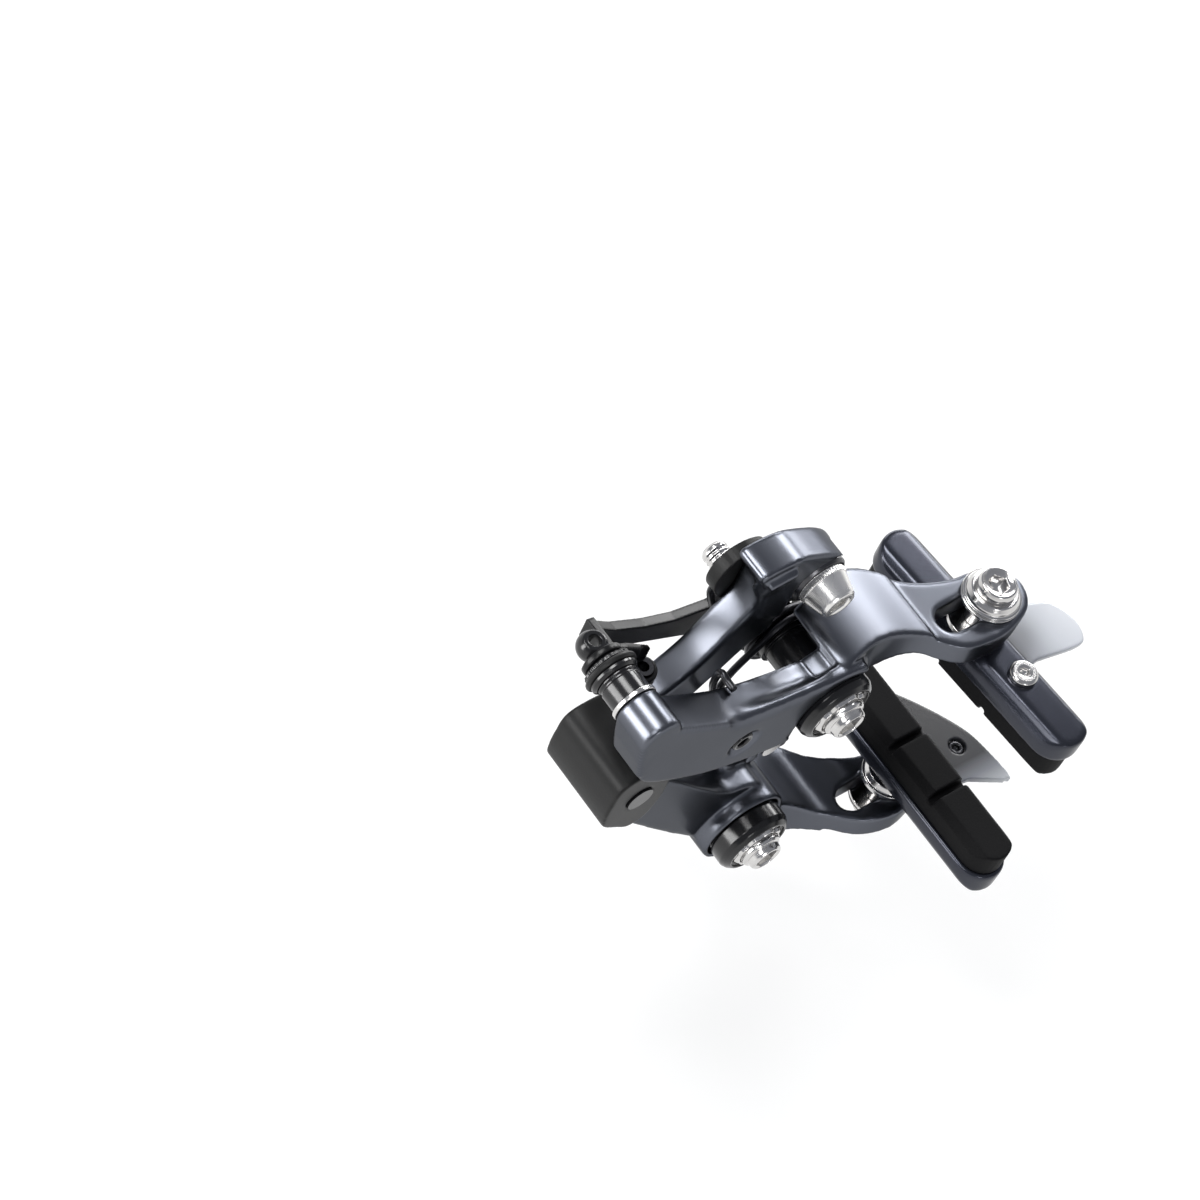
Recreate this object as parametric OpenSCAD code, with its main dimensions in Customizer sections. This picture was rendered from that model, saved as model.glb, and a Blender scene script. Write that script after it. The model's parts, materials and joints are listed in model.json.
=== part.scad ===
// Direct mount rim brake caliper for a chainstay, seen with its two mounting bolts pointing to the rear.
// The origin is midway between the two mounting bolts, on the face that lies against the frame.
// +Y goes into the frame, +X goes to the wheel rim and +Z goes sideways to the upper arm.

/* [Mounting] */
// Distance between the two mounting bolts
bolt_spacing = 54; // [52:0.5:56]
// Thread diameter of the mounting bolts
stud_d = 6; // [5:0.5:6]
// Length of thread that goes into the frame
stud_len = 9; // [6:0.5:12]
// Height of the arms' rear faces above the frame
hub_rise = 16.5; // [15.5:0.5:18]
// Length of each arm's hub
hub_len = 13.8; // [13:0.2:15]
// Outer diameter of each arm's hub
hub_d = 20.6; // [20.4:0.2:22]

/* [Pivot hardware] */
// Diameter of the bearing sleeve that each arm turns on
sleeve_d = 10; // [9:0.5:11]
// Diameter of the black post behind each arm
post_d = 11.6; // [11.4:0.2:12.4]
// Diameter of the black collar in front of each arm
collar_d = 17.4; // [16.4:0.2:18]
// Height of the collar
collar_h = 7.6; // [6:0.2:9]
// Depth of the pocket that the collar sits in
pocket_deep = 2.6; // [2:0.2:3.4]
// Diameter of the mounting bolt's head
bolt_head_d = 9.6; // [9:0.2:10.4]
// Running clearance on a radius
running_gap = 0.05; // [0.02:0.01:0.09]

/* [Arms] */
// Thickness of the arm where the shoe is fixed
arm_end_t = 7; // [6:0.2:8]
// Width of the arm where the shoe is fixed
arm_end_w = 16; // [14.4:0.2:16.6]
// Depth of the upper arm's left extension
ext_t = 8.8; // [8:0.2:9.4]
// Distance from the upper pivot's plane to the adjuster boss, toward the crank
boss_out = 55; // [52:0.5:57]
// Height of the adjuster boss above the upper pivot
boss_up = 27.5; // [26:0.5:29]
// Diameter of the adjuster boss
boss_d = 9.4; // [9:0.2:10.4]
// Thickness of the hooked arm's shank
shank_t = 7.3; // [6.8:0.1:7.6]
// Distance from the hooked arm's corner to the pivot plane
corner_out = 46; // [44:0.5:48]

/* [Brake shoes] */
// Length of a brake shoe
shoe_len = 60; // [54:0.5:61]
// Width of the shoe holder
shoe_w = 12.2; // [11.4:0.2:13]
// Thickness of the shoe holder
shoe_t = 6.4; // [6:0.1:7]
// Width of the rubber pad
pad_w = 10.4; // [9.8:0.1:10.6]
// Height of the rubber above the holder
pad_proud = 6.4; // [5:0.2:8]
// Distance from the pivot plane to the shoe bolts
shoe_x = 40.5; // [39:0.5:42]
// Turn of the upper shoe about its bolt, in degrees
shoe_turn = 4; // [0:1:6]
// How much nearer to the viewer the lower shoe is fixed
lower_ahead = 3.4; // [2:0.2:4]
// How much nearer to the pivots the lower shoe is fixed
lower_in = 1; // [0:0.2:1.4]
// Gap between the two pads at rest
pad_gap = 28; // [25:0.5:29]
// Thread diameter of the shoe bolts
shoe_bolt_d = 6; // [5:0.5:6]
// Diameter of the shoe bolts' washers
washer_d = 13; // [12:0.2:13.4]

/* [Cable parts] */
// Diameter of the cable clamp washer
clamp_washer_d = 12.6; // [11.6:0.2:13]
// Diameter of the clamp bolt's head at its base
clamp_head_d = 10.8; // [10:0.2:11.4]
// Length of the clamp bolt's head
clamp_head_len = 6.2; // [5:0.2:7]
// Diameter of the cable's cross hole in the eye
eye_hole_d = 2.6; // [2:0.1:2.8]
// Diameter of the adjuster's sleeve
barrel_d = 8.6; // [8:0.2:9]

/* [Return spring] */
// Wire diameter
wire_d = 1.6; // [1.4:0.1:1.6]
// Whole turns of the coil
coil_turns = 3; // [2:1:3]

/* [Hidden] */
$fn = 64;

// Colours as they are seen
c_arm = [0.33, 0.36, 0.42];
c_black = [0.07, 0.07, 0.075];
c_steel = [0.80, 0.80, 0.79];
c_rubber = [0.10, 0.10, 0.10];
c_fin = [0.55, 0.58, 0.63];

pivot_z = bolt_spacing / 2;
hub_r = hub_d / 2;
sleeve_r = sleeve_d / 2;
hub_back = -hub_rise;
hub_front = hub_back - hub_len;
seat_y = hub_front + pocket_deep;
collar_front = seat_y - collar_h;
seat_gap = 0.05;

// Upper arm's left extension
ext_front = hub_front - 2.6;
ext_back = ext_front + ext_t;
boss_x = -boss_out;
boss_z = pivot_z + boss_up;
boss_r = boss_d / 2;
screw_x = -25.4;
screw_z = pivot_z + 4;
screw_d = 5;

// Shoe and the arm end that carries it
shoe_y = -31;
low_x = shoe_x - lower_in;
low_y = shoe_y - lower_ahead;
pad_face_z = pad_gap / 2;
holder_in_z = pad_face_z + pad_proud;
holder_out_z = holder_in_z + shoe_t;
ball_stack = 2.4;
arm_in_z = holder_out_z + ball_stack + 2 * seat_gap;
arm_out_z = arm_in_z + arm_end_t;
slot_in = 11;
slot_out = 3;
slide_in = 8;
slide_out = 2;
slot_r = shoe_bolt_d / 2 + 0.1;
end_edge = slot_out + slot_r + 3.2;
shoe_front = shoe_y - 33.5;
shoe_back = shoe_front + shoe_len;

// Hooked arm
shank_front = -16.2;
shank_back = shank_front + shank_t;
head_front = -17;
clamp_seat = -11.6;
clamp_washer_t = 5.4;
clamp_up = 23.6;
clamp_bolt_r = 2.5;
clamp_x = -0.9;
clamp_z = pivot_z + clamp_up;
leg_back = -18.4;
leg_front = -26.4;
corner_x = -corner_out;
corner_z = 15.5;
block_back = -8;
block_front = -27.8;
block_wall = 1.35;
end_pin_r = 3.05;
lug_gap = 0.5;
lug_t = 4.4;
lug_w = 11;
pin_r = 2.5;
slot_clear = 0.22;

// Tube pin on the bracket
pin_x = boss_x + 12;
pin_y = -14.8;
pin_tube_r = 2.1;

// Adjuster stack on the boss, each level going toward the frame
ring_t = 0.9;
barrel_len = 5.3;
knob_len = 4;
knob_front = ext_back + ring_t + barrel_len;
knob_back = knob_front + knob_len;
bracket_front = knob_back + 0.1;
bracket_t = 1.4;
tube_r = 3;
tube_end = bracket_front + bracket_t;
eye_r = 3.2;
eye_y = tube_end + eye_r - 0.6;
stem_r = 1.45;
plate_back = -3.2;
plate_front = -5.6;
seat_back = -5.8;

// One point of a smooth closed curve through four neighbours
function spline(a, b, c, d, t) = 0.5 * (2 * b + (c - a) * t + (2 * a - 5 * b + 4 * c - d) * t * t
    + (3 * b - 3 * c + d - a) * t * t * t);
// A smooth closed outline through the given points, with n steps between two of them
function smooth(p, n = 5) = let (m = len(p)) [for (i = [0 : m - 1], k = [0 : n - 1])
    spline(p[(i + m - 1) % m], p[i], p[(i + 1) % m], p[(i + 2) % m], k / n)];

// Extrude an outline drawn in x and z from one y to another
module along_y(from, to) {
    translate([0, max(from, to), 0])
        rotate([90, 0, 0])
            linear_extrude(abs(to - from))
                children();
}

// A rod along y
module rod_y(x, z, r, from, to) {
    translate([x, max(from, to), z])
        rotate([90, 0, 0])
            cylinder(r = r, h = abs(to - from));
}

// A cone along y, with its first radius at the first level
module cone_y(x, z, r1, r2, from, to) {
    translate([x, from, z])
        rotate([to > from ? -90 : 90, 0, 0])
            cylinder(r1 = r1, r2 = r2, h = abs(to - from));
}

// A rod along z
module rod_z(x, y, r, from, to) {
    translate([x, y, min(from, to)])
        cylinder(r = r, h = abs(to - from));
}

// A hexagon socket along y, opening toward the viewer
module hex_y(x, z, across, from, to) {
    translate([x, max(from, to), z])
        rotate([90, 0, 0])
            cylinder(r = across / sqrt(3), h = abs(to - from), $fn = 6);
}

// Mounting hardware, drawn for the pivot at height z
module mount_bolt(z) {
    head_front = collar_front - 3.4;
    color(c_steel)
        difference() {
            union() {
                rod_y(0, z, stud_d / 2 - 0.1, collar_front + 1, 0);
                rod_y(0, z, stud_d / 2, 0, stud_len - 0.8);
                cone_y(0, z, stud_d / 2, stud_d / 2 - 0.8, stud_len - 0.8, stud_len);
                rod_y(0, z, bolt_head_d / 2, collar_front + 1, head_front + 0.6);
                cone_y(0, z, bolt_head_d / 2, bolt_head_d / 2 - 0.6, head_front + 0.6, head_front);
            }
            hex_y(0, z, 5, head_front - 1, head_front + 3.2);
        }
}

module bolt_washer(z) {
    color(c_steel)
        difference() {
            union() {
                rod_y(0, z, collar_d / 2 - 2.5, collar_front + 2.2, collar_front + 0.2);
                cone_y(0, z, collar_d / 2 - 2.5, collar_d / 2 - 3.1, collar_front + 0.2,
                    collar_front - 0.4);
            }
            rod_y(0, z, bolt_head_d / 2 + seat_gap, collar_front + 1, collar_front - 1);
            rod_y(0, z, stud_d / 2 + seat_gap, collar_front + 3, collar_front);
        }
}

module collar(z) {
    r = collar_d / 2;
    color(c_black)
        difference() {
            union() {
                rod_y(0, z, r - 0.5, seat_y, seat_y - 1.6);
                rod_y(0, z, r - 0.9, seat_y - 1.6, seat_y - 2.4);
                rod_y(0, z, r, seat_y - 2.4, collar_front + 1.6);
                cone_y(0, z, r, r - 1.6, collar_front + 1.6, collar_front);
            }
            rod_y(0, z, collar_d / 2 - 2.4, collar_front + 2.3, collar_front - 1);
            rod_y(0, z, stud_d / 2 + 0.1, seat_y + 1, collar_front - 1);
        }
}

module post(z) {
    color(c_black)
        difference() {
            union() {
                rod_y(0, z, post_d / 2, 0, hub_back + seat_gap);
                rod_y(0, z, sleeve_r, hub_back + 1, seat_y);
                rod_y(0, z, post_d / 2 + 2, 0, -2.4);
            }
            rod_y(0, z, stud_d / 2 + 0.1, 1, seat_y - 1);
        }
}

// The stretch of each arm from its hub to its shoe at ex and ey, drawn on the upper side
module shoe_stretch(ex, ey) {
    hz = pivot_z;
    half = arm_end_w / 2;
    tip = ex + end_edge;
    ahead = shoe_y - ey;
    flat = ex - slide_in - washer_d / 2 - 3;
    side = smooth([[2, hz + 12.4], [12, hz + 12.2], [22, hz + 10.4], [30, arm_out_z + 0.5], [36, arm_out_z],
        [tip + 6, arm_out_z], [tip + 6, arm_in_z], [34, arm_in_z], [27, arm_in_z + 0.6], [20, hz + 3.2],
        [13, hz + 0.5], [9, hz - 0.6], [6, hz + 2.6], [1.8, hz + 7.4], [-1.6, hz + 10.6]], 6);
    difference() {
        intersection() {
            along_y(-50, -8)
                intersection() {
                    polygon(side);
                    translate([-4, arm_in_z - 14])
                        square([tip + 4, 60]);
                }
            translate([0, 0, hz - 16])
                linear_extrude(40)
                    polygon(smooth([[-3, hub_back], [3, hub_back + 2.2], [8, hub_back + 3.8],
                        [14, hub_back + 4.6],
                        [20, hub_back + 2.4], [27, -19.8 - 0.6 * ahead], [35, ey + half - 0.1],
                        [ex + 1, ey + half - 1], [tip - 2.4, ey + half - 3.4], [tip, ey],
                        [tip - 2.4, ey - half + 2.8], [ex, ey - half], [34, ey - half - 0.4],
                        [27.6, -38 - 0.8 * ahead], [21.6, -32.8 - 0.9 * ahead],
                        [15.6, hub_front - 0.4 * ahead],
                        [9, hub_front + 0.7], [-3, hub_front]], 6));
        }
        shoe_slot(ex, ey);
        // Flat seats for the washers over their whole travel
        translate([flat, ey - 2 * half, arm_out_z])
            cube([tip - flat + 8, 4 * half, 8]);
        translate([flat, ey - 2 * half, arm_in_z - 6])
            cube([tip - flat + 8, 4 * half, 6]);
    }
}

module shoe_slot(ex, ey) {
    from = ex - slot_in;
    to = ex + slot_out;
    translate([from, ey - slot_r, arm_in_z - 2])
        cube([to - from, 2 * slot_r, arm_end_t + 10]);
    rod_z(from, ey, slot_r, arm_in_z - 2, arm_out_z + 8);
    rod_z(to, ey, slot_r, arm_in_z - 2, arm_out_z + 8);
}

// Bore and collar pocket shared by both hubs
module hub_cuts(front) {
    rod_y(0, pivot_z, sleeve_r + running_gap, hub_back + 1, front - 1);
    rod_y(0, pivot_z, collar_d / 2 + 0.4, seat_y + seat_gap, front - 1);
    rod_y(0, pivot_z, coil_r + wire_d / 2 + 0.5, hub_back, hub_back + 8);
}

module upper_arm() {
    hz = pivot_z;
    color(c_arm)
        difference() {
            union() {
                rod_y(0, hz, hub_r, ext_back, hub_front);
                shoe_stretch(shoe_x, shoe_y);
                along_y(ext_front, ext_back)
                    difference() {
                        union() {
                            polygon(smooth([[boss_x + 2, boss_z + 1.4], [boss_x + 4.6, boss_z + 0.2],
                                [boss_x + 12, boss_z - 4.6], [-33, hz + 17], [-24, hz + 13.2],
                                [-14, hz + 10.4], [-6, hz + 8.6], [-2, hz + 4], [-9.8, hz - 3.6],
                                [-8.6, hz - 7.6], [-17, hz - 6.6], [-30, hz - 3], [-41, hz + 2.2],
                                [boss_x + 3.2, boss_z - 18.6], [boss_x - 0.6, boss_z - 13],
                                [boss_x, boss_z - 6]], 6));
                            translate([boss_x, boss_z])
                                circle(r = boss_r);
                        }
                        translate([0, hz])
                            circle(r = collar_d / 2 + 0.4);
                    }
                // Higher front edge that runs to the collar
                along_y(ext_front, ext_front + 3)
                    difference() {
                        polygon(smooth([[-30, hz + 15], [-23, hz + 14.2], [-16, hz + 13], [-8, hz + 12.2],
                            [0, hz + 11.6], [6, hz + 9.4], [3, hz + 6], [-8, hz + 5], [-20, hz + 8]], 5));
                        translate([0, hz])
                            circle(r = collar_d / 2 + 0.4);
                    }
                sync_fork();
            }
            hub_cuts(ext_front);
            rod_y(screw_x, screw_z, screw_d / 2 + running_gap, ext_back + 1, ext_front - 1);
            rod_y(screw_x, screw_z, screw_d / 2 + 1.2, ext_front + 0.8, ext_front - 1);
            rod_y(boss_x, boss_z, tube_r + 0.02, ext_back + 1, ext_front + 2);
        }
}

// Fork on the upper arm that the lower arm's pin runs in
module sync_fork() {
    back = hub_back - lug_t - lug_gap;
    front = back - lug_t;
    along_y(front, back)
        difference() {
            union() {
                translate([-lug_w / 2, -3.6])
                    square([lug_w, pivot_z]);
            }
            translate([-pin_r - slot_clear, -5])
                square([2 * (pin_r + slot_clear), 9]);
            translate([0, 4])
                circle(r = pin_r + slot_clear);
            translate([0, pivot_z])
                circle(r = sleeve_r + 1);
        }
}

module centring_screw() {
    color(c_black)
        difference() {
            rod_y(screw_x, screw_z, screw_d / 2, ext_back + 0.6, ext_front + 1);
            hex_y(screw_x, screw_z, 2.5, ext_front, ext_front + 3.4);
        }
}

module adjuster_sleeve() {
    color(c_black)
        difference() {
            union() {
                rod_y(boss_x, boss_z, tube_r, ext_front + 2.1, tube_end);
                rod_y(boss_x, boss_z, barrel_d / 2, ext_back + ring_t, knob_front - 0.1);
            }
            rod_y(boss_x, boss_z, stem_r + running_gap, ext_front + 6, tube_end + 1);
        }
}

module sleeve_ring() {
    color(c_steel)
        difference() {
            rod_y(boss_x, boss_z, boss_r + 0.1, ext_back, ext_back + ring_t);
            rod_y(boss_x, boss_z, tube_r + 0.02, ext_back - 1, ext_back + ring_t + 1);
        }
}

module adjuster_knob() {
    r = 5.1;
    groove_y = knob_front + 1.9;
    color(c_black)
        difference() {
            union() {
                cone_y(boss_x, boss_z, r - 0.6, r, knob_front, knob_front + 0.6);
                rod_y(boss_x, boss_z, r, knob_front + 0.6, groove_y + 1.4);
                cone_y(boss_x, boss_z, r, r - 1.2, groove_y + 1.4, groove_y + 2);
                rod_y(boss_x, boss_z, r - 1.2, groove_y + 2, knob_back);
            }
            rod_y(boss_x, boss_z, tube_r + running_gap, knob_front - 1, knob_back + 1);
            translate([boss_x, groove_y, boss_z])
                rotate([90, 0, 0])
                    rotate_extrude()
                        translate([r, 0])
                            circle(r = 0.7);
        }
}

module knob_o_ring() {
    color(c_rubber)
        translate([boss_x, knob_front + 1.9, boss_z])
            rotate([90, 0, 0])
                rotate_extrude()
                    translate([5.1, 0])
                        circle(r = 0.66);
}

// Black bracket behind the hooked arm, from the adjuster to the pivot post
module adjuster_bracket() {
    color(c_black)
        difference() {
            union() {
                rod_y(boss_x, boss_z, 4.4, bracket_front, tube_end);
                along_y(bracket_front, tube_end)
                    polygon([[boss_x, boss_z + 4.3], [boss_x + 6, boss_z + 1], [pin_x + 1.6, boss_z - 5],
                        [pin_x + 1.6, boss_z - 13], [pin_x - 2.6, boss_z - 14], [boss_x, boss_z - 4.3]]);
                rod_z(pin_x, pin_y, pin_tube_r + 1, boss_z - 13, boss_z - 9);
                along_y(bracket_front, plate_back)
                    polygon([[boss_x + 4.4, boss_z - 2.6], [boss_x + 6.4, boss_z - 3],
                        [boss_x + 6.4, boss_z - 9.8],
                        [boss_x + 4.4, boss_z - 8.4]]);
                along_y(plate_front, plate_back)
                    polygon([[boss_x + 4.4, boss_z - 2.6], [-43, pivot_z + 19], [-33, pivot_z + 13.4],
                        [-24, pivot_z + 9.6], [-14, pivot_z + 7.6], [0, pivot_z + post_d / 2 + 3],
                        [post_d / 2, pivot_z], [0, pivot_z - post_d / 2 - 2.6], [-12, pivot_z - 3],
                        [-24, pivot_z + 3], [-36, pivot_z + 9], [boss_x + 4.4, boss_z - 8.4]]);
                rod_y(0, pivot_z, post_d / 2 + 3, plate_front, plate_back);
            }
            rod_y(boss_x, boss_z, tube_r + 0.02, bracket_front - 1, tube_end + 1);
            rod_y(0, pivot_z, post_d / 2 + running_gap, plate_front - 1, plate_back + 1);
            rod_z(pin_x, pin_y, pin_tube_r + 0.02, boss_z - 20, boss_z);
        }
}

module bracket_pin() {
    color(c_steel)
        difference() {
            rod_z(pin_x, pin_y, pin_tube_r, boss_z - 17, boss_z - 8.4);
            rod_z(pin_x, pin_y, pin_tube_r - 0.9, boss_z - 18, boss_z - 7);
        }
}

module cable_eye() {
    flat = 2.3;
    color(c_black)
        difference() {
            union() {
                rod_y(boss_x, boss_z, stem_r, ext_front + 8, eye_y - 1.5);
                translate([boss_x, eye_y, boss_z])
                    sphere(r = eye_r);
            }
            rod_z(boss_x, eye_y, eye_hole_d / 2, boss_z - 5, boss_z + 5);
            translate([boss_x - 5, eye_y - 5, boss_z + flat])
                cube([10, 10, 4]);
            translate([boss_x - 5, eye_y - 5, boss_z - flat - 4])
                cube([10, 10, 4]);
            difference() {
                rod_y(boss_x, boss_z, 5, tube_end - 2, tube_end + seat_gap);
                rod_y(boss_x, boss_z, stem_r, tube_end - 3, tube_end + 1);
            }
        }
}

// The lower arm's lug that carries the pin between the two arms
module sync_lug() {
    along_y(hub_back, hub_back - lug_t)
        union() {
            translate([-lug_w / 2, -pivot_z])
                square([lug_w, pivot_z]);
            circle(r = lug_w / 2);
        }
}

module sync_pin() {
    color(c_steel)
        rod_y(0, 0, pin_r, hub_back, hub_back - 2 * lug_t - lug_gap - 0.4);
}

// Outline of the lower arm's lower leg, from the hub to the corner
function leg_outline() = smooth([[-2, -pivot_z - 9.4], [-9.4, -pivot_z - 2.8], [-20, -19.6], [-31.4, -7.8],
    [corner_x + 4, 4], [corner_x, 12], [corner_x + 3, 21], [corner_x + 9, 22], [-33, 13], [-26, 5.6],
    [-16, -4.6], [-7, -12.6], [4, -pivot_z + 9.6], [6, -pivot_z - 2]], 6);

// Outline of the shank that rises from the corner to the hook
function shank_outline() = smooth([[corner_x + 2, 9], [corner_x, 14], [corner_x + 2, 21], [-38, 27.2],
    [-31.5, pivot_z + 4.4], [-25.6, pivot_z + 10], [-21.4, pivot_z + 17], [-18, pivot_z + 23.4],
    [-17.4, pivot_z + 30], [-10, pivot_z + 32], [-5, pivot_z + 24], [-4.6, pivot_z + 15],
    [-8.4, pivot_z + 10.4], [-13, pivot_z + 7], [-20.5, 25], [-29, 16.4], [-36, 9.6], [-41, 6.6]], 6);

// Outline of the hook's head
function head_outline() = smooth([[-17.6, pivot_z + 27], [-18.2, pivot_z + 31.4], [-21.6, pivot_z + 36.4],
    [-20.6, pivot_z + 38.2], [-15.3, pivot_z + 38.6], [-11, pivot_z + 38], [-4.8, pivot_z + 35],
    [-0.4, pivot_z + 32.4], [3.8, pivot_z + 28.8], [5.8, pivot_z + 25], [6, pivot_z + 20.4],
    [5, pivot_z + 17], [2.4, pivot_z + 15.6], [-2, pivot_z + 15], [-9, pivot_z + 16],
    [-15, pivot_z + 20]], 6);

// Outline of the block of metal that joins the leg to the shank
function corner_outline() = smooth([[corner_x + 1, 9], [corner_x, 15], [corner_x + 2, 21],
    [corner_x + 8, 22.4], [corner_x + 14, 16], [corner_x + 12, 10], [corner_x + 6, 7]], 6);

module lower_arm() {
    color(c_arm)
        difference() {
            union() {
                rod_y(0, -pivot_z, hub_r, hub_back, hub_front);
                mirror([0, 0, 1])
                    shoe_stretch(low_x, low_y);
                along_y(leg_front, leg_back)
                    polygon(leg_outline());
                along_y(shank_front, shank_back)
                    polygon(shank_outline());
                along_y(leg_front, shank_back)
                    polygon(corner_outline());
                along_y(head_front, shank_back)
                    polygon(head_outline());
                sync_lug();
            }
            mirror([0, 0, 1])
                hub_cuts(hub_front);
            rod_y(clamp_x, clamp_z, clamp_bolt_r + running_gap, shank_back + 1, head_front - 1);
            rod_y(clamp_x, clamp_z, clamp_washer_d / 2 + 0.8, clamp_seat, head_front - 1);
            // Recess open to the right and below, under the overhanging crest
            along_y(clamp_seat, head_front - 1)
                polygon([[clamp_x, clamp_z + clamp_washer_d / 2 + 0.8], [clamp_x + 14, clamp_z + 2],
                    [clamp_x + 14, clamp_z - 16], [clamp_x - clamp_washer_d / 2 - 0.8, clamp_z - 16],
                    [clamp_x - clamp_washer_d / 2 - 0.8, clamp_z]]);
            rod_y(0, 0, pin_r, hub_back + 1, hub_back - lug_t - 1);
            rod_y(corner_x + 3.4, corner_z, end_pin_r, shank_back + 1, leg_front - 1);
        }
}

module end_block() {
    color(c_black)
        difference() {
            along_y(block_front, block_back)
                polygon(smooth([[corner_x - 4.5, 12.4], [corner_x - 3.4, 9], [corner_x + 1, 5.4],
                    [corner_x + 5, 2.8], [corner_x + 9, 4.4], [corner_x + 11, 10], [corner_x + 11, 16],
                    [corner_x + 10.6, 22],
                    [corner_x + 7.4, 25], [corner_x, 25.2], [corner_x - 3.8, 23.2],
                    [corner_x - 4.6, 18]], 5));
            along_y(block_front + block_wall, block_back + 1)
                offset(delta = 0.05)
                    union() {
                        polygon(leg_outline());
                        polygon(shank_outline());
                        polygon(corner_outline());
                    }
            rod_y(corner_x + 3.4, corner_z, end_pin_r, block_back + 1, block_front - 1);
        }
}

module end_pin() {
    color(c_black)
        rod_y(corner_x + 3.4, corner_z, end_pin_r, shank_back, block_front - 0.4);
}

module spring_seat() {
    wire_x = seat_leg[0][0];
    color(c_black)
        difference() {
            along_y(seat_back, shank_back)
                polygon(smooth([[-22.4, pivot_z + 24], [-22.6, pivot_z + 28], [-20.4, pivot_z + 32],
                    [-15, pivot_z + 33], [-10, pivot_z + 30], [-9.4, pivot_z + 22], [-12, pivot_z + 17.4],
                    [-16, pivot_z + 17.4], [-19.8, pivot_z + 19.6]], 5));
            // Channel for the spring's leg
            translate([wire_x - wire_d / 2 - 0.08, coil_back - wire_d / 2 - 0.1, pivot_z + 10])
                cube([wire_d + 0.16, 6, seat_leg[0][2] + 0.4 - pivot_z - 10]);
            translate([wire_x - wire_d / 2 - 0.08, coil_back - wire_d / 2 - 0.1, pivot_z + 10])
                cube([4.4, 6, 13.6]);
        }
}

module clamp_washer() {
    face = clamp_seat;
    rim = clamp_washer_t - 1.6;
    r = clamp_washer_d / 2;
    color([0.2, 0.2, 0.21])
        difference() {
            union() {
                rod_y(clamp_x, clamp_z, r - 1.2, face, face - rim);
                rod_y(clamp_x, clamp_z, r, face - rim, face - clamp_washer_t + 0.7);
                cone_y(clamp_x, clamp_z, r, r - 0.7, face - clamp_washer_t + 0.7, face - clamp_washer_t);
            }
            rod_y(clamp_x, clamp_z, clamp_bolt_r + running_gap, face + 1, face - clamp_washer_t - 1);
        }
}

module clamp_bolt() {
    base = clamp_seat - clamp_washer_t - seat_gap;
    tip = base - clamp_head_len;
    r = clamp_head_d / 2;
    color(c_steel)
        difference() {
            union() {
                rod_y(clamp_x, clamp_z, clamp_bolt_r, shank_back - 0.4, base);
                rod_y(clamp_x, clamp_z, r, base, base - 1.4);
                cone_y(clamp_x, clamp_z, r - 0.3, r - 1.5, base - 1.4, tip + 0.5);
                cone_y(clamp_x, clamp_z, r - 1.5, r - 2, tip + 0.5, tip);
            }
            hex_y(clamp_x, clamp_z, 4, tip - 1, tip + 3.4);
        }
}

// The return spring's centre line: a leg to the hook's seat, the coil round the upper post and a leg that
// hooks over the upper arm's extension
coil_rings = 8;
coil_r = (post_d / 2 + 0.35 + wire_d / 2) / cos(180 / coil_rings);
coil_back = plate_front - 0.8 - wire_d / 2;
coil_front = hub_back + 0.3 + wire_d / 2;
coil_from = 210;
coil_sweep = 360 * coil_turns + 300;
coil_count = round(coil_sweep / 360 * coil_rings);
hook_z = pivot_z + 14.8 + wire_d / 2;
coil_path = [for (k = [0 : coil_count]) let (a = coil_from + coil_sweep * k / coil_count)
    [coil_r * cos(a), coil_back + (coil_front - coil_back) * k / coil_count, pivot_z + coil_r * sin(a)]];
seat_leg = [[-20.5, coil_back, pivot_z + 27], [-20.5, coil_back, pivot_z + 22],
    [-20, coil_back, pivot_z + 18.4],
    [-14.2, coil_back, pivot_z + 7.6]];
arm_leg = [[-11.5, coil_front, pivot_z - 3.8], [-14.6, coil_front - 0.8, pivot_z - 8],
    [-17.6, -18.4, pivot_z - 8],
    [-20.4, -20, pivot_z - 4], [-24, -20.6, pivot_z + 4], [-26.4, -20.8, pivot_z + 10],
    [-27.4, ext_back + 2.4, hook_z], [-27.4, ext_back, hook_z], [-27.4, ext_back - 2, hook_z]];
wire_path = concat(seat_leg, coil_path, arm_leg);

function unit(v) = v / norm(v);
function heading(p, k) = unit(p[min(k + 1, len(p) - 1)] - p[max(k - 1, 0)]);
// The side direction of every ring, carried along the wire without twist
function carried(p, k, n) = k == len(p) ? [] :
    let (t = heading(p, k), m = unit(n - (n * t) * t)) concat([m], carried(p, k + 1, m));
// Least distance between points on stretches of the wire that don't follow each other
fine = [for (k = [0 : len(wire_path) - 2],
    j = [0 : 3]) wire_path[k] + (wire_path[k + 1] - wire_path[k]) * j / 4];
least_gap = min([for (i = [0 : 2 : len(fine) - 21],
    j = [i + 20 : len(fine) - 1]) norm(fine[i] - fine[j])]) - wire_d;

module return_spring() {
    sides = 6;
    rings = len(wire_path);
    side = carried(wire_path, 0, [0, 1, 0]);
    echo("least gap of the spring to itself", least_gap);
    color(c_steel)
        polyhedron(
            points = [for (k = [0 : rings - 1], j = [0 : sides - 1])
                let (t = heading(wire_path, k), a = 360 * j / sides)
                wire_path[k] + wire_d / 2 * (cos(a) * side[k] + sin(a) * cross(t, side[k]))],
            faces = concat(
                [for (k = [0 : rings - 2], j = [0 : sides - 1]) let (a = k * sides + j,
                b = k * sides + (j + 1) % sides)
                    [a, a + sides, b + sides]],
                [for (k = [0 : rings - 2], j = [0 : sides - 1]) let (a = k * sides + j,
                b = k * sides + (j + 1) % sides)
                    [a, b + sides, b]],
                [for (j = [1 : sides - 2]) [0, j, j + 1]],
                [for (j = [1 : sides - 2]) let (e = (rings - 1) * sides) [e, e + j + 1, e + j]]));
}

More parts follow.
